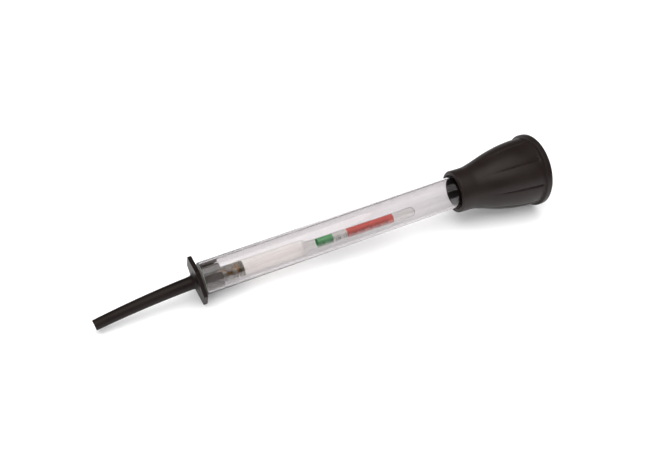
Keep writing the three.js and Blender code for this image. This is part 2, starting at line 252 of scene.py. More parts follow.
WAX_COLORS = ((0.05, 0.045, 0.035), (0.22, 0.2, 0.16))
FLOOR_COLORS = ((0.78, 0.78, 0.78), (0.8, 0.8, 0.8))

# Stage, in metres and watts.
LIGHTS = [
    {
        "name": "ceiling", "place": (0, 0.2, 2.4), "target": (0, 0.2, 0),
        "size": (5, 5), "power": 152, "reflected": False,
    },
    {
        "name": "overhead", "place": (-0.2, -0.25, 1.1), "target": (-0.2, -0.25, 0),
        "size": (1.1, 1.2), "power": 8, "reflected": True,
    },
    {
        "name": "front", "place": (-0.5, -1.25, 0.55), "target": (0, 0, 0.02),
        "size": (2.4, 1.1), "power": 12, "reflected": False,
    },
]
WALL_LOW = (0.13, 0.13, 0.134)
WALL_HIGH = (0.03, 0.03, 0.031)
WALL_FADE = 0.45  # sine of the elevation at which the walls are darkest
FLOOR_SIZE = 40
FLOOR_GLOW = 0.14


def centre_of(node):
    low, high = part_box(node)
    return (low + high) / 2


def local_frame(origin, along):
    """Millimetres along, beside and above a line in the XZ plane, as metres in the row frame."""
    along = along.normalized()
    axes = Matrix((along, SIDE, along.cross(SIDE))).transposed()
    return Matrix.Translation(origin) @ axes.to_4x4() @ Matrix.Scale(MM, 4)


def instrument_frame():
    """Its axis runs through the barrel, along the float's slide."""
    along = Vector(frame_joint("float_slide")["axis"]).normalized()
    middle = (BARREL_START + BARREL_END) / 2
    return local_frame(centre_of("glass_barrel") - along * middle * MM, along)


def bulb_frame():
    """Its axis is level, unlike the barrel's, and starts at the bulb's mouth."""
    low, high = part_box("suction_bulb")
    return local_frame(Vector((low.x, 0, (low.z + high.z) / 2)), Vector((1, 0, 0)))


def float_frame():
    """Its axis runs from the first ring of shot to the middle of the scale."""
    ring_centres = [centre_of(f"lead_shot_{i:02d}") for i in FIRST_RING]
    foot = sum(ring_centres, Vector()) / len(ring_centres)
    along = (centre_of("scale_paper") - foot).normalized()
    return local_frame(foot - along * FIRST_RING_STATION * MM, along)


def frame_joint(name):
    return next(joint for joint in frame["joints"] if joint["name"] == name)


# Outlines: lists of (station, radius) points.

def arc(station, radius, size, start, end, steps):
    """Points of an arc; angles run from the +station direction towards +radius."""
    angles = [math.radians(start + (end - start) * i / steps) for i in range(steps + 1)]
    return [(station + size * math.cos(a), radius + size * math.sin(a)) for a in angles]


def rounded(corners, steps=6, closed=True):
    """An outline through (station, radius, corner radius) corners."""
    points = [Vector(corner[:2]) for corner in corners]
    outline = []
    for i, corner in enumerate(points):
        size = corners[i][2]
        if not size:
            outline.append(tuple(corner))
            continue
        before = (points[i - 1] - corner).normalized()
        after = (points[(i + 1) % len(points)] - corner).normalized()
        half = before.angle(after) / 2
        centre = corner + (before + after).normalized() * size / math.sin(half)
        first = corner + before * size / math.tan(half) - centre
        last = corner + after * size / math.tan(half) - centre
        for k in range(steps + 1):
            turned = first.normalized().slerp(last.normalized(), k / steps)
            outline.append(tuple(centre + turned * size))
    return outline + outline[:1] if closed else outline


def spline(points, steps):
    """Points of a Catmull-Rom curve through the given ones."""
    ends = [points[0], *points, points[-1]]
    curve = []
    for a, b, c, d in zip(ends, ends[1:], ends[2:], ends[3:]):
        for k in range(steps):
            t = k / steps
            curve.append(tuple(
                0.5 * (2 * q + (r - p) * t + (2 * p - 5 * q + 4 * r - s) * t * t
                       + (3 * q - p - 3 * r + s) * t ** 3)
                for p, q, r, s in zip(a, b, c, d)
            ))
    return curve + [tuple(points[-1])]


def split_long(outline, longest):
    """The same outline, with points added so that no step is longer than that."""
    points = [outline[0]]
    for a, b in zip(outline, outline[1:]):
        count = max(1, math.ceil(math.dist(a, b) / longest))
        for k in range(1, count + 1):
            points.append(tuple(p + (q - p) * k / count for p, q in zip(a, b)))
    return points


def smoothstep(value, low, high):
    """From 0 at low to 1 at high, easing in and out."""
    t = min(1, max(0, (value - low) / (high - low)))
    return t * t * (3 - 2 * t)


# Meshes, in the millimetres of a local frame.

def ring(station, radius, segments):
    """Points round the axis, or the one point on it."""
    if radius == 0:
        return [Vector((station, 0, 0))]
    angles = [2 * math.pi * i / segments for i in range(segments)]
    return [Vector((station, radius * math.cos(a), radius * math.sin(a))) for a in angles]


def on_circle(station, radius, elevation):
    """A point round the axis, whose elevation runs from -Y towards +Z, in radians."""
    return Vector((station, -radius * math.cos(elevation), radius * math.sin(elevation)))


def slice_mesh(bm, normal, offsets):
    """Cuts the faces along parallel planes."""
    for offset in offsets:
        geometry = bm.verts[:] + bm.edges[:] + bm.faces[:]
        bmesh.ops.bisect_plane(bm, geom=geometry, plane_co=normal * offset, plane_no=normal)


def add_skin(bm, rings, inward=False):
    """Adds a closed skin through rings of points. A ring of one point closes an end, and
    rings that end with the first one make a loop."""
    loop = rings[0] == rings[-1] and len(rings[0]) > 1
    rows = [[bm.verts.new(point) for point in points] for points in rings[:-1]]
    rows.append(rows[0] if loop else [bm.verts.new(point) for point in rings[-1]])
    faces = []
    for a, b in zip(rows, rows[1:]):
        count = max(len(a), len(b))
        for i in range(count):
            j = (i + 1) % count
            corners = [a[i % len(a)], a[j % len(a)], b[j % len(b)], b[i % len(b)]]
            faces.append(bm.faces.new(list(dict.fromkeys(corners))))
    bmesh.ops.recalc_face_normals(bm, faces=faces)
    if inward:
        bmesh.ops.reverse_faces(bm, faces=faces)
    return faces


def add_lathe(bm, outline, segments, inward=False):
    """Adds the closed skin that an outline makes when turned round the axis."""
    return add_skin(bm, [ring(s, r, segments) for s, r in outline], inward)


def make_piece(name, bm, place, materials):
    """Turns a mesh in a local frame's millimetres into an object in the row frame."""
    bmesh.ops.transform(bm, matrix=place, verts=bm.verts)
    mesh = bpy.data.meshes.new(name)
    bm.to_mesh(mesh)
    bm.free()
    mesh.shade_smooth()
    mesh.set_sharp_from_angle(angle=math.radians(SHARP_ANGLE))
    for material in materials:
        mesh.materials.append(material)
    piece = bpy.data.objects.new(name, mesh)
    bpy.context.scene.collection.objects.link(piece)
    return piece


# Materials.

def add_node(tree, kind, inputs=None, **settings):
    """A shader node with its settings, and its inputs' values or links."""
    node = tree.nodes.new("ShaderNode" + kind)
    for name, value in settings.items():
        setattr(node, name, value)
    for name, value in (inputs or {}).items():
        if isinstance(value, bpy.types.NodeSocket):
            tree.links.new(value, node.inputs[name])
        else:
            node.inputs[name].default_value = value
    return node


def new_material(name):
    material = bpy.data.materials.new(name)
    material.use_nodes = True
    material.node_tree.nodes.clear()
    return material, material.node_tree


def finish_material(tree, shader):
    add_node(tree, "OutputMaterial", {"Surface": shader.outputs[0]})


def noise(tree, scale, detail=4, stretch=(1, 1, 1), roughness=0.5):
    """Noise in the piece's own space, from 0 to 1; scale is in features per metre."""
    where = add_node(tree, "TexCoord").outputs["Object"]
    mapped = add_node(tree, "Mapping", {"Vector": where, "Scale": stretch})
    texture = add_node(tree, "TexNoise", {
        "Vector": mapped.outputs[0], "Scale": scale, "Detail": detail, "Roughness": roughness,
    })
    return texture.outputs["Fac"]


def spread(tree, value, low, high):
    """Noise stretched from its middle range to run from low to high."""
    return add_node(tree, "MapRange", {
        "Value": value,
        "From Min": NOISE_LOW,
        "From Max": NOISE_HIGH,
        "To Min": low,
        "To Max": high,
    }).outputs["Result"]


def mix_colors(tree, factor, a, b):
    """A Mix node's sockets share their names, so the colour ones are found by number."""
    node = add_node(tree, "Mix", data_type="RGBA")
    for socket, value in ((node.inputs[0], factor), (node.inputs[6], a), (node.inputs[7], b)):
        if isinstance(value, bpy.types.NodeSocket):
            tree.links.new(value, socket)
        elif socket.type == "RGBA":
            socket.default_value = (*value, 1)
        else:
            socket.default_value = value
    return node.outputs[2]


def shades(tree, value, colors):
    """A colour that wanders between the two of a pair as the noise does."""
    return mix_colors(tree, spread(tree, value, 0, 1), *colors)


def bump(tree, height, distance):
    """Dents of that many metres where the height runs from 0 to 1."""
    return add_node(tree, "Bump", {"Height": height, "Distance": distance}).outputs["Normal"]


def glass_material(name, tint, dust, clearness=1, density=0):
    """Clear glass that lets lamp light through, darker seen edge on where it has a density."""
    material, tree = new_material(name)
    streaks = noise(tree, scale=900, detail=2, stretch=(0.04, 1, 1))
    smudges = noise(tree, scale=60, detail=3)
    glass = add_node(tree, "BsdfPrincipled", {
        "Base Color": (*tint, 1),
        "Roughness": spread(tree, smudges, 0, dust),
        "IOR": GLASS_IOR,
        "Transmission Weight": clearness,
        "Normal": bump(tree, streaks, distance=0.0000012),
    })
    clear = add_node(tree, "BsdfTransparent")
    is_shadow = add_node(tree, "LightPath").outputs["Is Shadow Ray"]
    mixed = add_node(tree, "MixShader", {0: is_shadow, 1: glass.outputs[0], 2: clear.outputs[0]})
    finish_material(tree, mixed)
    if density:
        absorption = add_node(tree, "VolumeAbsorption", {"Color": (*tint, 1), "Density": density})
        tree.links.new(absorption.outputs[0], tree.nodes["Material Output"].inputs["Volume"])
    return material


def ground_glass_material():
    """The sawn and ground end of a tube: milky, and green because it is seen edge on."""
    material, tree = new_material("ground_glass")
    grind = noise(tree, scale=2200)
    shader = add_node(tree, "BsdfPrincipled", {
        "Base Color": shades(tree, grind, GROUND_COLORS),
        "Roughness": spread(tree, grind, 0.35, 0.55),
        "IOR": GLASS_IOR,
        "Transmission Weight": 0.6,
        "Normal": bump(tree, grind, distance=0.00005),
    })
    finish_material(tree, shader)
    return material


def rubber_material(name, colors, roughness, grain, shine=0.26):
    """Satin rubber in two close shades; grain is how deep its moulded texture is, in metres."""
    material, tree = new_material(name)
    bloom = noise(tree, scale=45, detail=5)
    fine = noise(tree, scale=2600, detail=3)
    smoothest, dullest = (roughness + change for change in RUBBER_WEAR)
    shader = add_node(tree, "BsdfPrincipled", {
        "Base Color": shades(tree, bloom, colors),
        "Roughness": spread(tree, bloom, smoothest, dullest),
        "Specular IOR Level": shine,
        "Specular Tint": (*RUBBER_TINT, 1),
        "Normal": bump(tree, fine, distance=grain),
    })
    finish_material(tree, shader)
    return material


def paper_material(name, color):
    """Matt printed paper, slightly faded in blotches."""
    material, tree = new_material(name)
    fibres = noise(tree, scale=3000)
    blotches = noise(tree, scale=500, detail=3)
    faded = tuple(channel * PAPER_FADE + PAPER_GREY for channel in color)
    shader = add_node(tree, "BsdfPrincipled", {
        "Base Color": shades(tree, blotches, (color, faded)),
        "Roughness": 0.85,
        "Normal": bump(tree, fibres, distance=0.00001),
    })
    finish_material(tree, shader)
    return material


def ink_material():
    material, tree = new_material("print_ink")
    wear = noise(tree, scale=2500, detail=3)
    shader = add_node(tree, "BsdfPrincipled", {
        "Base Color": shades(tree, wear, INK_COLORS),
        "Roughness": 0.6,
    })
    finish_material(tree, shader)
    return material


def lead_material():
    """Dull cast lead: grey oxide over darker metal, dented."""
    material, tree = new_material("dull_lead")
    oxide = noise(tree, scale=700, detail=5, roughness=0.6)
    shader = add_node(tree, "BsdfPrincipled", {
        "Base Color": shades(tree, oxide, LEAD_COLORS),
        "Metallic": 0.8,
        "Roughness": spread(tree, oxide, 0.28, 0.5),
        "Normal": bump(tree, oxide, distance=0.00004),
    })
    finish_material(tree, shader)
    return material


def resin_material():
    """Amber resin, in swirls of brown and gold."""
    material, tree = new_material("amber_resin")
    swirls = noise(tree, scale=350)
    shader = add_node(tree, "BsdfPrincipled", {
        "Base Color": shades(tree, swirls, RESIN_COLORS),
        "Roughness": spread(tree, swirls, 0.12, 0.3),
        "Transmission Weight": 0.25,
        "IOR": RESIN_IOR,
        "Normal": bump(tree, swirls, distance=0.0002),
    })
    finish_material(tree, shader)
    return material


def wax_material():
    """Dark sealing wax on top of the ballast."""
    material, tree = new_material("dark_wax")
    blotches = noise(tree, scale=600)
    shader = add_node(tree, "BsdfPrincipled", {
        "Base Color": shades(tree, blotches, WAX_COLORS),
        "Roughness": spread(tree, blotches, 0.3, 0.5),
        "Normal": bump(tree, blotches, distance=0.0001),
    })
    finish_material(tree, shader)
    return material


def floor_material():
    """A white light table, which keeps the shadows faint."""
    material, tree = new_material("pale_floor")
    mottle = noise(tree, scale=8, detail=3)
    shader = add_node(tree, "BsdfPrincipled", {
        "Base Color": shades(tree, mottle, FLOOR_COLORS),
        "Roughness": 0.7,
        "Emission Color": (1, 1, 1, 1),
        "Emission Strength": FLOOR_GLOW,
    })
    finish_material(tree, shader)
    return material


# The barrel.

def make_barrel():
    """A clear tube with ground ends."""
    outline = rounded([
        (BARREL_START, BARREL_OUTER_R, BARREL_EDGE_R),
        (BARREL_END, BARREL_OUTER_R, BARREL_EDGE_R),
        (BARREL_END, BARREL_INNER_R, BARREL_EDGE_R),
        (BARREL_START, BARREL_INNER_R, BARREL_EDGE_R),
    ])
    bm = bmesh.new()
    for face in add_lathe(bm, outline, BARREL_SEGMENTS):
        station = face.calc_center_median().x
        if min(station - BARREL_START, BARREL_END - station) < BARREL_EDGE_R / 2:
            face.material_index = 1
    glass = glass_material("clear_glass", BARREL_TINT, BARREL_DUST, density=BARREL_DENSITY)
    piece = make_piece("barrel_tube", bm, INSTRUMENT, [glass, ground_glass_material()])
    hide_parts("glass_barrel")
    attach(piece, "barrel")


# The plug.

def flange_angles():
    """Angles round the flange, closer together at its corners, which are at whole sixths."""
    half = CORNER_ANGLES + SIDE_ANGLES
    sector = half + [30] + [60 - angle for angle in reversed(half[1:])]
    return [math.radians(60 * side + angle) for side in range(6) for angle in sector]


def flange_radius(angle, corner_r):
    """How far a hexagon's side is from its middle in one direction, with rounded corners whose
    centres are at edge_centre."""
    apothem = corner_r * math.cos(math.pi / 6)
    edge_centre = corner_r - FLANGE_SIDE_EDGE_R / math.cos(math.pi / 6)
    from_corner = (angle + math.pi / 6) % (math.pi / 3) - math.pi / 6
    from_flat = math.pi / 6 - abs(from_corner)
    if math.tan(from_flat) * apothem <= edge_centre / 2:
        return apothem / math.cos(from_flat)
    across = edge_centre * math.sin(from_corner)
    return edge_centre * math.cos(from_corner) + math.sqrt(FLANGE_SIDE_EDGE_R ** 2 - across ** 2)


def lean_direction():
    side = math.radians(LEAN_SIDE)
    return Vector((0, -math.sin(side), -math.cos(side)))


def lean_into_place(point):
    """From stations that start at the flange's nozzle side to the leaning plug's place."""
    lean = Matrix.Rotation(math.radians(LEAN), 3, Vector((-1, 0, 0)).cross(lean_direction()))
    pivot = Vector((FLANGE_THICKNESS, 0, 0))
    return lean @ (point - pivot) + pivot + Vector((FLANGE_START, 0, 0))


def bend_nozzle(point):
    """Bends what lies before the flange along a circle, in the direction of the lean."""
    if point.x >= 0:
        return point
    curvature = math.radians(NOZZLE_BEND) / NOZZLE_LENGTH
    towards = lean_direction()
    turn = -point.x * curvature
    offset = point.dot(towards)
    bent = (1 - math.cos(turn)) / curvature + offset * math.cos(turn)
    station = offset * math.sin(turn) - math.sin(turn) / curvature
    return Vector((station, point.y, point.z)) + towards * (bent - offset)


def plug_outline():
    """From the bore's inner end round the nozzle and the flange to the spigot."""
    floor = PLUG_FLOOR - FLANGE_START
    return split_long(rounded([
        (floor, NOZZLE_BORE_R, NOZZLE_BORE_EDGE_R),
        (-NOZZLE_LENGTH, NOZZLE_BORE_R, NOZZLE_BORE_EDGE_R),
        (-NOZZLE_LENGTH, NOZZLE_TIP_R, NOZZLE_TIP_EDGE_R),
        (0, NOZZLE_BASE_R, NOZZLE_FILLET_R),
        (0, FLANGE_CORNER_R, FLANGE_EDGE_R),
        (FLANGE_THICKNESS, FLANGE_CORNER_R, FLANGE_EDGE_R),
        (FLANGE_THICKNESS, SPIGOT_R, 0),
        (floor, SPIGOT_R, 0),
    ], steps=8), NOZZLE_STEP)


def make_plug_body():
    """The flange is hexagonal outside the fingers' radius, and all else is round."""
    hexagonal_from = FINGER_OUTER_R + 1
    rings = []
    for station, radius in plug_outline():
        points = []
        for angle in flange_angles():
            size = flange_radius(angle, radius) if radius > hexagonal_from else radius
            point = Vector((station, size * math.cos(angle), size * math.sin(angle)))
            points.append(lean_into_place(bend_nozzle(point)))
        rings.append(points)
    bm = bmesh.new()
    add_skin(bm, rings)
    return bm


def finger_outline(pitch):
    """Half of one finger in the flat, as (across, station), from its middle to a slot's end."""
    half_slot = SLOT_WIDTH / 2
    side = pitch / 2 - half_slot
    corner_station = FINGER_TIP - FINGER_CORNER_R
    tip = arc(side - FINGER_CORNER_R, corner_station, FINGER_CORNER_R, 90, 0, steps=6)
    root = arc(pitch / 2, SLOT_START + half_slot, half_slot, 180, 270, steps=6)
    return [(0, FINGER_TIP), *tip, *root]


def draw_fingers(bm, pitch):
    """The ring in the flat, one half finger after another, cut into strips."""
    corners = [(0, FINGER_ROOT), *finger_outline(pitch), (pitch / 2, FINGER_ROOT)]
    for finger in range(FINGER_COUNT):
        for mirror in (1, -1):
            points = [Vector((pitch * finger + mirror * a, s, 0)) for a, s in corners]
            bm.faces.new([bm.verts.new(point) for point in points])
    per_pitch = 2 * FINGER_STRIPS
    cuts = [pitch * (strip / per_pitch - 0.5) for strip in range(1, per_pitch * FINGER_COUNT)]
    slice_mesh(bm, Vector((1, 0, 0)), cuts)
    bmesh.ops.remove_doubles(bm, verts=bm.verts, dist=MERGE_DISTANCE)
    bmesh.ops.recalc_face_normals(bm, faces=bm.faces)


def is_strip_end(face, pitch):
    ends = (-pitch / 2, pitch * (FINGER_COUNT - 0.5))
    return any(all(abs(vert.co.x - end) < MERGE_DISTANCE for vert in face.verts) for end in ends)


def thicken_fingers(bm, pitch):
    """Adds an outside at z = 1 and walls between it and the inside at z = 0. The walls at the
    strip's two ends are left out, because those ends meet once the ring is wrapped."""
    made = bmesh.ops.extrude_face_region(bm, geom=bm.faces[:], use_keep_orig=True)
    for vert in (item for item in made["geom"] if isinstance(item, bmesh.types.BMVert)):
        vert.co.z = 1
    ends = [face for face in bm.faces if is_strip_end(face, pitch)]
    bmesh.ops.delete(bm, geom=ends, context="FACES")


def wrap_fingers(bm):
    """Rolls the strip into a ring, with z = 1 outside and z = 0 inside."""
    for vert in bm.verts:
        radius = FINGER_OUTER_R if vert.co.z > 0.5 else FINGER_INNER_R
        angle = vert.co.x / FINGER_OUTER_R - math.radians(FIRST_SLOT) - math.pi / FINGER_COUNT
        vert.co = Vector((vert.co.y, radius * math.sin(angle), radius * math.cos(angle)))
    bmesh.ops.remove_doubles(bm, verts=bm.verts, dist=MERGE_DISTANCE)
    bmesh.ops.recalc_face_normals(bm, faces=bm.faces)


def make_plug_fingers():
    """The ring is drawn in the flat, made solid, wrapped round the axis and softened."""
    pitch = 2 * math.pi * FINGER_OUTER_R / FINGER_COUNT
    bm = bmesh.new()
    draw_fingers(bm, pitch)
    thicken_fingers(bm, pitch)
    wrap_fingers(bm)
    sharp_from = math.radians(FINGER_SHARP_ANGLE)
    sharp = [edge for edge in bm.edges if edge.calc_face_angle(0) > sharp_from]
    bmesh.ops.bevel(
        bm, geom=sharp, offset=FINGER_EDGE_R, segments=3, profile=0.5, affect="EDGES",
    )
    return bm


def make_plug():
    """The nozzle and flange in one piece, and the fingers in another."""
    rubber = rubber_material("plug_rubber", PLUG_COLORS, roughness=0.44, grain=0.000006, shine=0.17)
    body = make_piece("plug_body", make_plug_body(), INSTRUMENT, [rubber])
    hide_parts("nozzle_plug")
    # The fingers are the plug's rubber painted lighter: painted sheen for the light they reflect in
    # the barrel.
    sheen_rubber = rubber_material("painted_sheen_rubber", FINGER_COLORS, roughness=0.27, grain=0.000006)
    fingers = make_piece("plug_fingers", make_plug_fingers(), INSTRUMENT, [sheen_rubber])
    for piece in (body, fingers):
        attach(piece, "plug")


# The bulb.

def bulb_places():
    """The mesh's lines along the bulb: (elevation from -Y, degrees to the nearest crease)."""
    half_lobe = 180 / LOBES
    plain = [half_lobe * (PLAIN_START + PLAIN_STEP * i) for i in range(PLAIN_LINES)]
    half = NEAR_CREASE + plain
    places = []
    for lobe in range(LOBES):
        start = CREASE_ELEVATION + 2 * half_lobe * lobe
        places += [(start + away, away) for away in half]
        places += [(start + 2 * half_lobe - away, away) for away in half[-2:0:-1]]
    return places


def crease_depth(station, away):
    """How far the outside is drawn in, that many degrees from the nearest crease."""
    scallop = SCALLOP_DEPTH * (1 - away * LOBES / 180) ** 2 * smoothstep(station, *SCALLOP_RISE)
    groove = GROOVE_DEPTH * max(0, 1 - away / GROOVE_HALF_WIDTH) * smoothstep(station, *GROOVE_RISE)
    return (scallop + groove) * (1 - smoothstep(station, *CREASE_FALL))


def bulb_ring(station, radius, creased):
    """One ring of the bulb's mesh, with or without the creases."""
    points = []
    for elevation, away in bulb_places():
        size = radius - crease_depth(station, away) if creased else radius
        points.append(on_circle(station, size, math.radians(elevation)))
    return points


def bulb_outside():
    """From the mouth's face over the lip, the flank and the rim to the middle of the end."""
    lip = arc(LIP_R, NECK_R - LIP_R, LIP_R, 180, 90, steps=6)
    flank = split_long(spline(BULB_OUTLINE, steps=8), longest=1)
    flank_r = BULB_OUTLINE[-1][1]
    rim = rounded([
        (*BULB_OUTLINE[-1], 0),
        (RIM_START, flank_r - RIM_ROOT_DEPTH, RIM_ROOT_R),
        (RIM_START + RIM_STEP_R, RIM_R, RIM_STEP_R),
        (BULB_LENGTH, RIM_R, RIM_EDGE_R),
        (BULB_LENGTH, flank_r - END_FLAT_MARGIN, 0),
    ], steps=7, closed=False)
    return [*lip, *flank, *split_long(rim, longest=1)[1:]]


def bulb_inside():
    """From the cavity's end back to the stop that the barrel is pushed against."""
    stop_end = BARREL_END - MOUTH + STOP_THICKNESS
    flank = [(station, radius - BULB_WALL) for station, radius in BULB_OUTLINE[CAVITY_FIRST:]]
    end = BULB_LENGTH - BULB_WALL
    corner = arc(end - BULB_WALL, CAVITY_END_R - BULB_WALL, BULB_WALL, 80, 0, steps=6)
    outline = [(stop_end, STOP_BORE_R), *spline(flank, steps=6), *corner]
    return list(reversed(outline))


def mouth_bore():
    """From the stop out to the mouth, along the barrel's axis."""
    stop = BARREL_END - MOUTH
    return rounded([
        (stop + STOP_THICKNESS, STOP_BORE_R, 0),
        (stop, STOP_BORE_R, STOP_EDGE_R),
        (stop, BORE_R, BORE_CORNER_R),
        (FLARE_DEPTH, BORE_R, FLARE_CORNER_R),
        (0, FLARE_R, BORE_CORNER_R),
        (0, NECK_R - LIP_R, 0),
    ], closed=False)[1:-1]


def make_bulb():
    """One skin, whose mouth follows the barrel's slope while the rest of the bulb is level."""
    slope = math.atan2(INSTRUMENT.col[0].z, INSTRUMENT.col[0].x)
    tilt = Matrix.Rotation(-slope, 3, "Y")
    outside = [bulb_ring(station, radius, True) for station, radius in bulb_outside()]
    inside = [bulb_ring(station, radius, False) for station, radius in bulb_inside()]
    bore = [
        [tilt @ point for point in bulb_ring(station, radius, False)]
        for station, radius in mouth_bore()
    ]
    end = [Vector((BULB_LENGTH, 0, 0))]
    cavity_end = [Vector((BULB_LENGTH - BULB_WALL, 0, 0))]
    bm = bmesh.new()
    add_skin(bm, [end, *reversed(outside), *reversed(bore), *reversed(inside), cavity_end])
    rubber = rubber_material("bulb_rubber", BULB_COLORS, roughness=0.42, grain=0.000012)
    piece = make_piece("bulb_skin", bm, BULB, [rubber])
    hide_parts("suction_bulb", "bulb_press_wall")
    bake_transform(piece)


# The float.

def float_outline(wall_body, wall_stem, tip_wall):
    """From the foot's middle over the body, the shoulder and the stem to the tip's middle."""
    body_r = FLOAT_R - wall_body
    stem_r = STEM_R - wall_stem
    bottom_r = FLOAT_BOTTOM_R - wall_body
    foot = arc(FLOAT_START + FLOAT_BOTTOM_R, body_r - bottom_r, bottom_r, 180, 90, steps=12)
    shoulder = [(RESIN_END, body_r)]
    for i in range(SHOULDER_STEPS + 1):
        station = SHOULDER_START + (SHOULDER_END - SHOULDER_START) * i / SHOULDER_STEPS
        blend = smoothstep(station, SHOULDER_START, SHOULDER_END)
        shoulder.append((station, body_r + (stem_r - body_r) * blend))
    tip = arc(STEM_TIP - tip_wall - stem_r, 0, stem_r, 90, 0, steps=12)
    return [(foot[0][0], 0), *foot, *shoulder, *tip[:-1], (tip[-1][0], 0)]


def make_float_glass():
    """An outer and an inner skin, clear at the foot and the stem and milky between them."""
    bm = bmesh.new()
    faces = add_lathe(bm, float_outline(0, 0, 0), FLOAT_SEGMENTS)
    faces += add_lathe(
        bm, float_outline(FLOAT_WALL, STEM_WALL, STEM_TIP_WALL), FLOAT_SEGMENTS, inward=True,
    )
    for face in faces:
        if RESIN_END < face.calc_center_median().x < SHOULDER_START:
            face.material_index = 1
    glass = glass_material("float_glass", FLOAT_TINT, 0, density=FLOAT_DENSITY)
    milky = glass_material(
        "milky_float_glass", MILKY_TINT, MILKY_DUST, MILKY_CLEARNESS, MILKY_DENSITY,
    )
    piece = make_piece("float_glass", bm, FLOAT, [glass, milky])
    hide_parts("float_body_glass", "float_stem_glass")
    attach(piece, "float")


def paper_section():
    """The rolled strip seen along the float: its outside, then its inside back again."""
    outer = []
    inner = []
    for i in range(PAPER_SEGMENTS + 1):
        share = i / PAPER_SEGMENTS
        angle = math.radians(PAPER_SEAM) + 2 * math.pi * PAPER_TURNS * share
        sink = PAPER_THICKNESS * OVERLAP_SINK * smoothstep(share, OVERLAP_START, 1)
        for rim, size in ((outer, PAPER_R - sink), (inner, PAPER_R - sink - PAPER_THICKNESS)):
            rim.append((size * math.cos(angle), size * math.sin(angle)))
    return outer + inner[::-1]


def make_scale():
    """A rolled paper strip in three zones, whose ends overlap low on the near side."""
    section = paper_section()
    ends = (PAPER_START, GREEN_END, WHITE_END, PAPER_END)
    bm = bmesh.new()
    rows = [[bm.verts.new((station, y, z)) for y, z in section] for station in ends]
    for zone, (a, b) in enumerate(zip(rows, rows[1:])):
        for i in range(len(section)):
            j = (i + 1) % len(section)
            bm.faces.new((a[i], a[j], b[j], b[i])).material_index = zone
    last_zone = len(ends) - 2
    for zone, row in ((0, rows[0]), (last_zone, rows[-1])):
        for i in range(PAPER_SEGMENTS):
            k = len(section) - 1 - i
            bm.faces.new((row[i], row[i + 1], row[k - 1], row[k])).material_index = zone
    bmesh.ops.recalc_face_normals(bm, faces=bm.faces)
    papers = [paper_material(f"paper_{name}", color) for name, color in PAPER_COLORS.items()]
    piece = make_piece("scale_roll", bm, FLOAT, papers)
    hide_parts("scale_paper")
    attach(piece, "float")


def text_mesh(words, size):
    """Solid figures, centred, with one side above the XY plane and one below it."""
    curve = bpy.data.curves.new("words", "FONT")
    curve.body = words
    curve.size = size
    curve.extrude = 0.5
    curve.offset = size * NUMERAL_BOLD
    curve.align_x = "CENTER"
    curve.align_y = "CENTER"
    curve.resolution_u = 3
    maker = bpy.data.objects.new("words", curve)
    mesh = bpy.data.meshes.new_from_object(maker)
    bpy.data.objects.remove(maker)
    bpy.data.curves.remove(curve)
    return mesh


def make_numeral(words, station):
    """Figures cut into strips that are narrow enough to follow the paper round."""
    bm = bmesh.new()
    mesh = text_mesh(words, NUMERAL_SIZE)
    bm.from_mesh(mesh)
    bpy.data.meshes.remove(mesh)
    bmesh.ops.remove_doubles(bm, verts=bm.verts, dist=MERGE_DISTANCE)
    cuts = [NUMERAL_SIZE * (strip / NUMERAL_STRIPS - 0.5) for strip in range(1, NUMERAL_STRIPS)]
    slice_mesh(bm, SIDE, cuts)
    for vert in bm.verts:
        radius = PAPER_R + (INK_THICKNESS if vert.co.z > 0 else -INK_THICKNESS)
        elevation = math.radians(NUMERAL_ELEVATION) + vert.co.y / PAPER_R
        vert.co = on_circle(station + vert.co.x, radius, elevation)
    mesh = bpy.data.meshes.new("numeral")
    bm.to_mesh(mesh)
    bm.free()
    return mesh


def add_tick(bm, station, high):
    """A short printed line round part of the paper, up to an elevation from -Y."""
    half_width = TICK_WIDTH / 2
    under = PAPER_R - INK_THICKNESS
    over = PAPER_R + INK_THICKNESS
    section = [
        (station - half_width, under),
        (station - half_width, over),
        (station + half_width, over),
        (station + half_width, under),
    ]
    rings = []
    for i in range(TICK_STEPS + 1):
        elevation = math.radians(TICK_LOW + (high - TICK_LOW) * i / TICK_STEPS)
        points = [on_circle(place, radius, elevation) for place, radius in section]
        rings.append([bm.verts.new(point) for point in points])
    for a, b in zip(rings, rings[1:]):
        for i in range(len(section)):
            j = (i + 1) % len(section)
            bm.faces.new((a[i], a[j], b[j], b[i]))
    bm.faces.new(rings[0])
    bm.faces.new(rings[-1][::-1])


def make_print():
    """Density marks: a numeral at every fifth tick."""
    bm = bmesh.new()
    for i in range(NUMERAL_COUNT):
        station = NUMERAL_START + NUMERAL_PITCH * i
        numeral = make_numeral(f"{NUMERAL_FIRST - NUMERAL_STEP * i:.2f}", station)
        bm.from_mesh(numeral)
        bpy.data.meshes.remove(numeral)
        for k in range(TICKS_PER_NUMERAL):
            away = k - TICKS_PER_NUMERAL // 2
            high = TICK_HIGH if away else LONG_TICK_HIGH
            add_tick(bm, station + NUMERAL_PITCH * away / TICKS_PER_NUMERAL, high)
    bmesh.ops.recalc_face_normals(bm, faces=bm.faces)
    piece = make_piece("scale_print", bm, FLOAT, [ink_material()])
    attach(piece, "float")


def resin_radius(station):
    """The amber core, with thin webs between the shot where it reaches the glass."""
    away = min(abs(station - band) for band in RESIN_BANDS)
    web = 1 - smoothstep(away, 0, RESIN_BAND_HALF)
    return RESIN_CORE_R + (FLOAT_R - FLOAT_WALL - RESIN_CORE_R - WEB_GAP) * web


def core_outline():
    """From the chamfered foot over the webs to the wax."""
    points = [(CORE_START, 0), (CORE_START, RESIN_CORE_R - CORE_CHAMFER)]
    for i in range(1, CORE_STEPS + 1):
        station = CORE_START + (WAX_START - CORE_START) * i / CORE_STEPS
        points.append((station, resin_radius(station)))
    return [*points, (WAX_START, 0)]


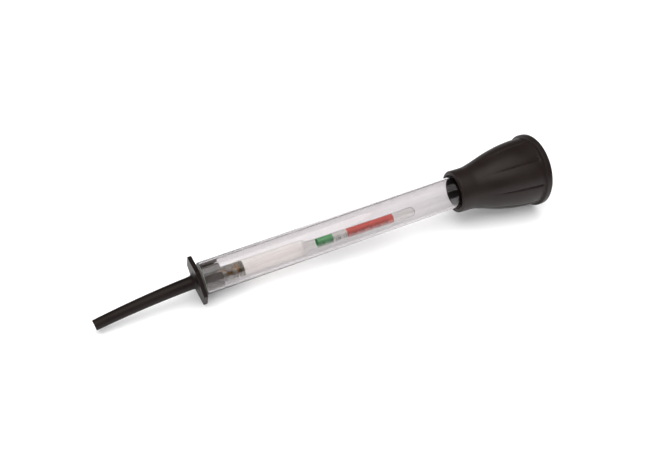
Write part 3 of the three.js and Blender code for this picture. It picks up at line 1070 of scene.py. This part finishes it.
def wax_outline(inside_r):
    """A cap over the core, with a dish in its top."""
    dish = RESIN_END - WAX_DISH_DEPTH
    side = rounded([
        (WAX_START, inside_r - WAX_GAP, WAX_FOOT_R),
        (RESIN_END, inside_r - WAX_GAP, WAX_EDGE_R),
        (dish, inside_r - WAX_DISH_MARGIN, WAX_DISH_R),
    ], closed=False)
    return [(WAX_START, 0), *side, (dish, 0)]


def film_outline(inside_r):
    """Round at the foot, and creeping a little way up the glass at its top."""
    bottom_r = FLOAT_BOTTOM_R - FLOAT_WALL - RESIN_GAP
    foot = arc(FLOAT_START + FLOAT_BOTTOM_R, inside_r - bottom_r, bottom_r, 150, 90, steps=8)
    flat = FILM_END - FILM_CREEP
    top = [(FILM_END, inside_r), (flat, inside_r - FILM_CREEP_WIDTH), (flat, 0)]
    return [(foot[0][0], 0), *foot, *top]


def make_resin():
    """An amber core between the shot, a cap of dark wax, and clear resin up to the glass."""
    inside_r = FLOAT_R - FLOAT_WALL - RESIN_GAP
    outlines = (film_outline(inside_r), core_outline(), wax_outline(inside_r))
    bm = bmesh.new()
    for index, outline in enumerate(outlines):
        for face in add_lathe(bm, outline, RESIN_SEGMENTS):
            face.material_index = index
    film = glass_material("clear_resin", FILM_TINT, 0)
    piece = make_piece("resin_fill", bm, FLOAT, [film, resin_material(), wax_material()])
    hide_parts("ballast_resin")
    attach(piece, "float")


def dress_shot():
    """The CAD's own lead shot, rounded, and swollen by what the rounding takes off."""
    lead = lead_material()
    for i in range(1, SHOT_COUNT + 1):
        shot = frame["nodes"][f"lead_shot_{i:02d}"]
        shot.data.materials.clear()
        shot.data.materials.append(lead)
        weld = shot.modifiers.new("weld", "WELD")
        weld.merge_threshold = WELD_DISTANCE * MM
        rounder = shot.modifiers.new("rounder", "SUBSURF")
        rounder.levels = SHOT_ROUNDING
        rounder.render_levels = SHOT_ROUNDING
        filler = shot.modifiers.new("filler", "DISPLACE")
        filler.mid_level = 0
        filler.strength = SHOT_FILL * MM


# The stage.

def aim(thing, target):
    thing.rotation_euler = (target - thing.location).to_track_quat("-Z", "Y").to_euler()


def make_camera():
    azimuth = math.radians(VIEW_AZIMUTH)
    elevation = math.radians(VIEW_ELEVATION)
    back = Vector((
        math.sin(azimuth) * math.cos(elevation),
        -math.cos(azimuth) * math.cos(elevation),
        math.sin(elevation),
    ))
    right = Vector((math.cos(azimuth), math.sin(azimuth), 0))
    target = INSTRUMENT @ Vector((VIEW_STATION, 0, 0)) + back.cross(right) * VIEW_RISE * MM
    data = bpy.data.cameras.new("camera")
    data.sensor_width = SENSOR_WIDTH
    data.lens = VIEW_LENS
    data.clip_start = CLIP_START
    camera = bpy.data.objects.new("camera", data)
    camera.location = target + back * VIEW_DISTANCE * MM
    aim(camera, target)
    bpy.context.scene.collection.objects.link(camera)
    bpy.context.scene.camera = camera


def make_light(name, place, target, size, power, reflected):
    """A softbox; one that isn't reflected lights the piece but doesn't show in the glass."""
    data = bpy.data.lights.new(name, "AREA")
    data.shape = "RECTANGLE"
    data.size, data.size_y = size
    data.energy = power
    light = bpy.data.objects.new(name, data)
    light.location = place
    light.visible_glossy = reflected
    light.visible_transmission = reflected
    aim(light, Vector(target))
    bpy.context.scene.collection.objects.link(light)


def make_world():
    """A dim studio whose walls are paler near the floor than higher up."""
    world = bpy.data.worlds.new("studio")
    world.use_nodes = True
    tree = world.node_tree
    direction = add_node(tree, "TexCoord").outputs["Generated"]
    height = add_node(tree, "SeparateXYZ", {"Vector": direction}).outputs["Z"]
    climb = add_node(tree, "MapRange", {"Value": height, "From Min": 0, "From Max": WALL_FADE})
    walls = mix_colors(tree, climb.outputs["Result"], WALL_LOW, WALL_HIGH)
    tree.links.new(walls, tree.nodes["Background"].inputs["Color"])
    bpy.context.scene.world = world


def make_stage():
    bm = bmesh.new()
    bmesh.ops.create_grid(bm, x_segments=1, y_segments=1, size=FLOOR_SIZE / 2)
    floor = make_piece("floor", bm, Matrix.Identity(4), [floor_material()])
    for light in LIGHTS:
        make_light(**light)
    make_world()
    bpy.context.scene.view_settings.view_transform = "Standard"


INSTRUMENT = instrument_frame()
BULB = bulb_frame()
FLOAT = float_frame()

make_camera()
make_barrel()
make_plug()
make_bulb()
make_float_glass()
make_scale()
make_print()
make_resin()
dress_shot()
make_stage()
